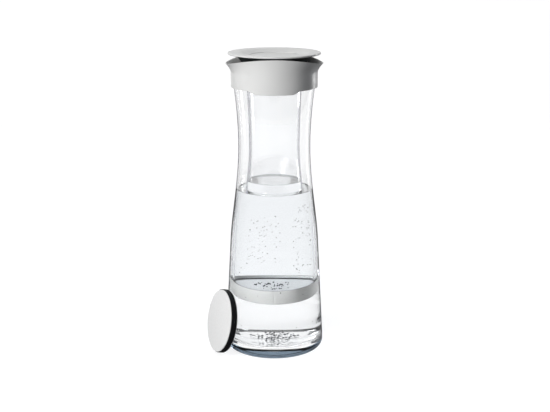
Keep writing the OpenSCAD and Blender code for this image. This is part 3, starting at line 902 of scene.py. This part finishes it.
def rim_outer_r(turn):
    return RIM_FRONT_R + (LIP_R - RIM_FRONT_R) * math.cos(turn) ** 2


def rim_edge_z(turn):
    """Height of the rim, which falls in a saddle to the lip at each side."""
    fall = RIM_Z - LIP_Z
    saddle = (LIP_R ** 2 + fall ** 2) / (2 * fall)
    reach = rim_outer_r(turn) * math.cos(turn)
    return RIM_Z - (saddle - math.sqrt(saddle ** 2 - reach ** 2))


def collar_point(turn, side, row):
    """Wall point; side 0 is outside and 1 inside, row -1 the lower edge, 0 to 1 up the flare."""
    share = max(0, row) ** FLARE_POWER
    outside = SKIRT_R + (rim_outer_r(turn) - SKIRT_R) * share
    inside = SKIRT_IN_R + (rim_outer_r(turn) - RIM_WALL - SKIRT_IN_R) * share
    radius = outside + (inside - outside) * side
    if row < 0:
        height = DECK_Z + (DECK_Z - skirt_edge_z(turn)) * row
    else:
        height = DECK_Z + (rim_edge_z(turn) - DECK_Z) * row
    return radius, height


def merge_into(bm, part):
    """Adds one bmesh to another and frees it."""
    carrier = bpy.data.meshes.new("carrier")
    part.to_mesh(carrier)
    part.free()
    bm.from_mesh(carrier)
    bpy.data.meshes.remove(carrier)


def add_slab(bm, outline, x_low, x_high):
    """A flat piece drawn in Y and Z, in mm, with softened edges."""
    part = bmesh.new()
    verts = [part.verts.new((x_low * MM, y * MM, z * MM)) for y, z in outline]
    face = part.faces.new(verts)
    grown = bmesh.ops.extrude_face_region(part, geom=[face])
    moved = [g for g in grown["geom"] if isinstance(g, bmesh.types.BMVert)]
    bmesh.ops.translate(part, vec=((x_high - x_low) * MM, 0, 0), verts=moved)
    bmesh.ops.recalc_face_normals(part, faces=part.faces)
    rims = [e for e in part.edges if abs(e.verts[0].co.x - e.verts[1].co.x) < SAME_X]
    bmesh.ops.bevel(part, geom=rims, offset=SLAB_EDGE * MM, segments=SLAB_EDGE_STEPS,
                    profile=0.5, affect="EDGES", material=-1)
    merge_into(bm, part)


def tangent_point(start, radius, side):
    """Where a line from a (Y, Z) start touches a circle round the pin."""
    away = math.atan2(start[1] - PIN_Z, start[0] - PIN_Y)
    half = math.acos(radius / math.hypot(start[0] - PIN_Y, start[1] - PIN_Z))
    turn = away - side * half
    return PIN_Y + radius * math.cos(turn), PIN_Z + radius * math.sin(turn)


def pin_angle(spot):
    """Direction of a (Y, Z) spot seen from the pin, in degrees."""
    return math.degrees(math.atan2(spot[1] - PIN_Z, spot[0] - PIN_Y))


def add_ear(bm, side):
    near = KNUCKLE_W / 2 + EAR_GAP
    start = pin_angle(tangent_point(EAR_ROOT_LOW, EAR_R, -1))
    end = pin_angle(tangent_point(EAR_ROOT_HIGH, EAR_R, 1))
    outline = [EAR_ROOT_LOW] + arc((PIN_Y, PIN_Z), EAR_R, start, end, EAR_STEPS) + [EAR_ROOT_HIGH]
    add_slab(bm, outline, *sorted((side * near, side * (near + EAR_T))))


def lid_collar():
    """The wall is turned with side and row coded as radius and height, then put in place."""
    rows = SKIRT_ROWS + tuple(i / FLARE_ROWS for i in range(1, FLARE_ROWS)) + RIM_ROWS
    outside = FOOT_EDGE + tuple((0, row) for row in rows) + RIM_EDGE
    section = outside + tuple((1 - side, row) for side, row in reversed(outside))
    bm = lathe_mesh([(CODE_R + side, row) for side, row in section], COLLAR_STEPS, closed=True)
    for vert in bm.verts:
        turn = math.atan2(vert.co.y, vert.co.x)
        side = math.hypot(vert.co.x, vert.co.y) / MM - CODE_R
        radius, height = collar_point(turn, side, vert.co.z / MM)
        vert.co = Vector((radius * math.cos(turn), radius * math.sin(turn), height)) * MM
    merge_into(bm, lathe_mesh(rounded([
        (LEDGE_IN_R, LEDGE_Z, LEDGE_EDGE), (LEDGE_R, LEDGE_Z),
        (LEDGE_R, DECK_Z), (LEDGE_IN_R, DECK_Z, LEDGE_EDGE)]), LEDGE_STEPS, closed=True))
    for side in (-1, 1):
        add_ear(bm, side)
    piece = finish_mesh(bm, "collar_shell", "collar", SHELL_GREY)
    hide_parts("lid_collar")


lid_collar()


# Hinge pin: drawn steel with slightly domed ends, pressed through the collar's two ears.
# The knuckle of the lid turns on it.
PIN_R = 1.2
PIN_DOME = ((0, 0.5), (0.7, 0.42), (PIN_R - 0.1, 0.15), (PIN_R, 0))
PIN_STEPS = 32


def steel_material():
    material = new_material("pin_steel", (0.60, 0.61, 0.62), 0.25, (("Metallic", 1.0),))
    uneven_gloss(material, 0.8, 0.2, 0.34)
    return material


def hinge_pin():
    half = KNUCKLE_W / 2 + EAR_GAP + EAR_T
    outline = [(r, -half - z) for r, z in PIN_DOME] + [(r, half + z) for r, z in reversed(PIN_DOME)]
    bm = lathe_mesh(outline, PIN_STEPS)
    turn = Matrix.Translation((0, PIN_Y * MM, PIN_Z * MM)) @ Matrix.Rotation(math.pi / 2, 4, "Y")
    bmesh.ops.transform(bm, matrix=turn, verts=bm.verts)
    piece = finish_mesh(bm, "hinge_steel_pin", "collar", steel_material())
    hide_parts("hinge_pin")


hinge_pin()


# Pour deck: the collar's floor, moulded in dark plastic together with the hub that holds
# the funnel. Slots in it let the filtered water out to the lips.
DARK = moulded_material("dark_grey", (0.030, 0.034, 0.034), 0.38, 0.3, 0.02)
dress("pour_deck", DARK)


# Flip lid: a dished light grey plate with a round centre plate, a dark bowl under it whose dark
# colour is partly painted shade under the lid, and a plug with a soft black seal that closes the
# funnel.
PLATE_R = 45.4
PLATE_Z = RIM_Z + 1.4
PLATE_TOP_Z = PLATE_Z + 1.8
PLATE_EDGE = 0.85
PLATE_EDGE_STEPS = 5
PLATE_STEPS = 200
DISH_R = 34
DISH_FLOOR_Z = PLATE_TOP_Z - 2.4
DISH_T = 1.5
CENTRE_R = 23.7
CENTRE_Z = DISH_FLOOR_Z - 0.4
CENTRE_T = 1.4
CENTRE_GAP = 0.12
SEAT_IN_R = CENTRE_R - 3
SEAT_OUT_R = CENTRE_R + 1.5
SEAT_Z = CENTRE_Z - CENTRE_T
SEAT_FOOT_Z = SEAT_Z - 1.2
ARM_ROOT_Y = 39
ARM_Z = RIM_Z + 0.5
ARM_TOP_Z = PLATE_TOP_Z - 0.6
ARM_SHOULDER_Y = PLATE_R - 3
ARM_STEPS = 22
HUB_R = 29.0
SEAL_TOP_Z = HUB_TOP_Z + 1.2
PLUG_R = 24.65
PLUG_FOOT_R = 23.25
PLUG_FOOT_Z = HUB_TOP_Z - 6
DARK_WALL = 1.5
BOWL_R = 38
BOWL_IN_R = PLUG_R - 3


def lid_top_plate():
    edge_r = PLATE_R - PLATE_EDGE
    outline = arc((edge_r, PLATE_Z + PLATE_EDGE), PLATE_EDGE, -90, 0, PLATE_EDGE_STEPS)
    outline += arc((edge_r, PLATE_TOP_Z - PLATE_EDGE), PLATE_EDGE, 0, 90, PLATE_EDGE_STEPS)
    outline += rounded([
        (DISH_R + 3, PLATE_TOP_Z), (DISH_R, PLATE_TOP_Z, 1.6), (CENTRE_R + 1, DISH_FLOOR_Z, 0.8),
        (CENTRE_R, DISH_FLOOR_Z, 0.25), (CENTRE_R, SEAT_Z), (SEAT_IN_R, SEAT_Z),
        (SEAT_IN_R, SEAT_FOOT_Z), (SEAT_OUT_R, SEAT_FOOT_Z),
        (SEAT_OUT_R, DISH_FLOOR_Z - DISH_T), (DISH_R, PLATE_Z)], closed=False)
    bm = lathe_mesh(outline, PLATE_STEPS, closed=True)
    shoulder = (ARM_SHOULDER_Y, ARM_TOP_Z)
    start = pin_angle(tangent_point(shoulder, KNUCKLE_R, 1))
    end = pin_angle((PIN_Y - math.sqrt(KNUCKLE_R ** 2 - (ARM_Z - PIN_Z) ** 2), ARM_Z))
    arm = [(ARM_ROOT_Y, ARM_Z), (ARM_ROOT_Y, ARM_TOP_Z), shoulder]
    arm += arc((PIN_Y, PIN_Z), KNUCKLE_R, start, end - 360, ARM_STEPS)
    add_slab(bm, arm, -KNUCKLE_W / 2, KNUCKLE_W / 2)
    piece = finish_mesh(bm, "lid_dished_plate", "flip_lid", SHELL_GREY)
    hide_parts("lid_top_plate")


def lid_centre_plate():
    edge_r = CENTRE_R - CENTRE_GAP
    outline = [(0, SEAT_Z)] + rounded([
        (CENTRE_R - 2, SEAT_Z), (edge_r, SEAT_Z, 0.2), (edge_r, CENTRE_Z, 0.35),
        (CENTRE_R - 2, CENTRE_Z)], closed=False)
    piece = lathe("lid_centre_disc", outline + [(0, CENTRE_Z)], "flip_lid", SHELL_GREY)
    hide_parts("lid_centre_plate")


def lid_underside():
    outline = rounded([
        (BOWL_IN_R, SEAL_TOP_Z), (HUB_R, SEAL_TOP_Z, 0.8), (BOWL_R, PLATE_Z),
        (BOWL_R - DARK_WALL, PLATE_Z), (HUB_R - DARK_WALL, SEAL_TOP_Z + DARK_WALL, 0.5),
        (BOWL_IN_R, SEAL_TOP_Z + DARK_WALL)])
    # The bowl's dark plastic also serves as painted shade for the dark gap under the lid.
    piece = lathe("lid_dark_bowl", outline, "flip_lid", DARK, closed=True)
    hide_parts("lid_underside")


def lid_plug():
    floor_z = PLUG_FOOT_Z + DARK_WALL
    outline = [(0, PLUG_FOOT_Z)] + rounded([
        (5, PLUG_FOOT_Z), (PLUG_FOOT_R, PLUG_FOOT_Z, 0.9), (PLUG_R, SEAL_TOP_Z),
        (PLUG_R - DARK_WALL, SEAL_TOP_Z), (PLUG_FOOT_R - DARK_WALL, floor_z, 0.6),
        (5, floor_z)], closed=False)
    piece = lathe("lid_dark_plug", outline + [(0, floor_z)], "flip_lid", DARK)
    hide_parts("lid_plug")


lid_top_plate()
lid_centre_plate()
lid_underside()
lid_plug()
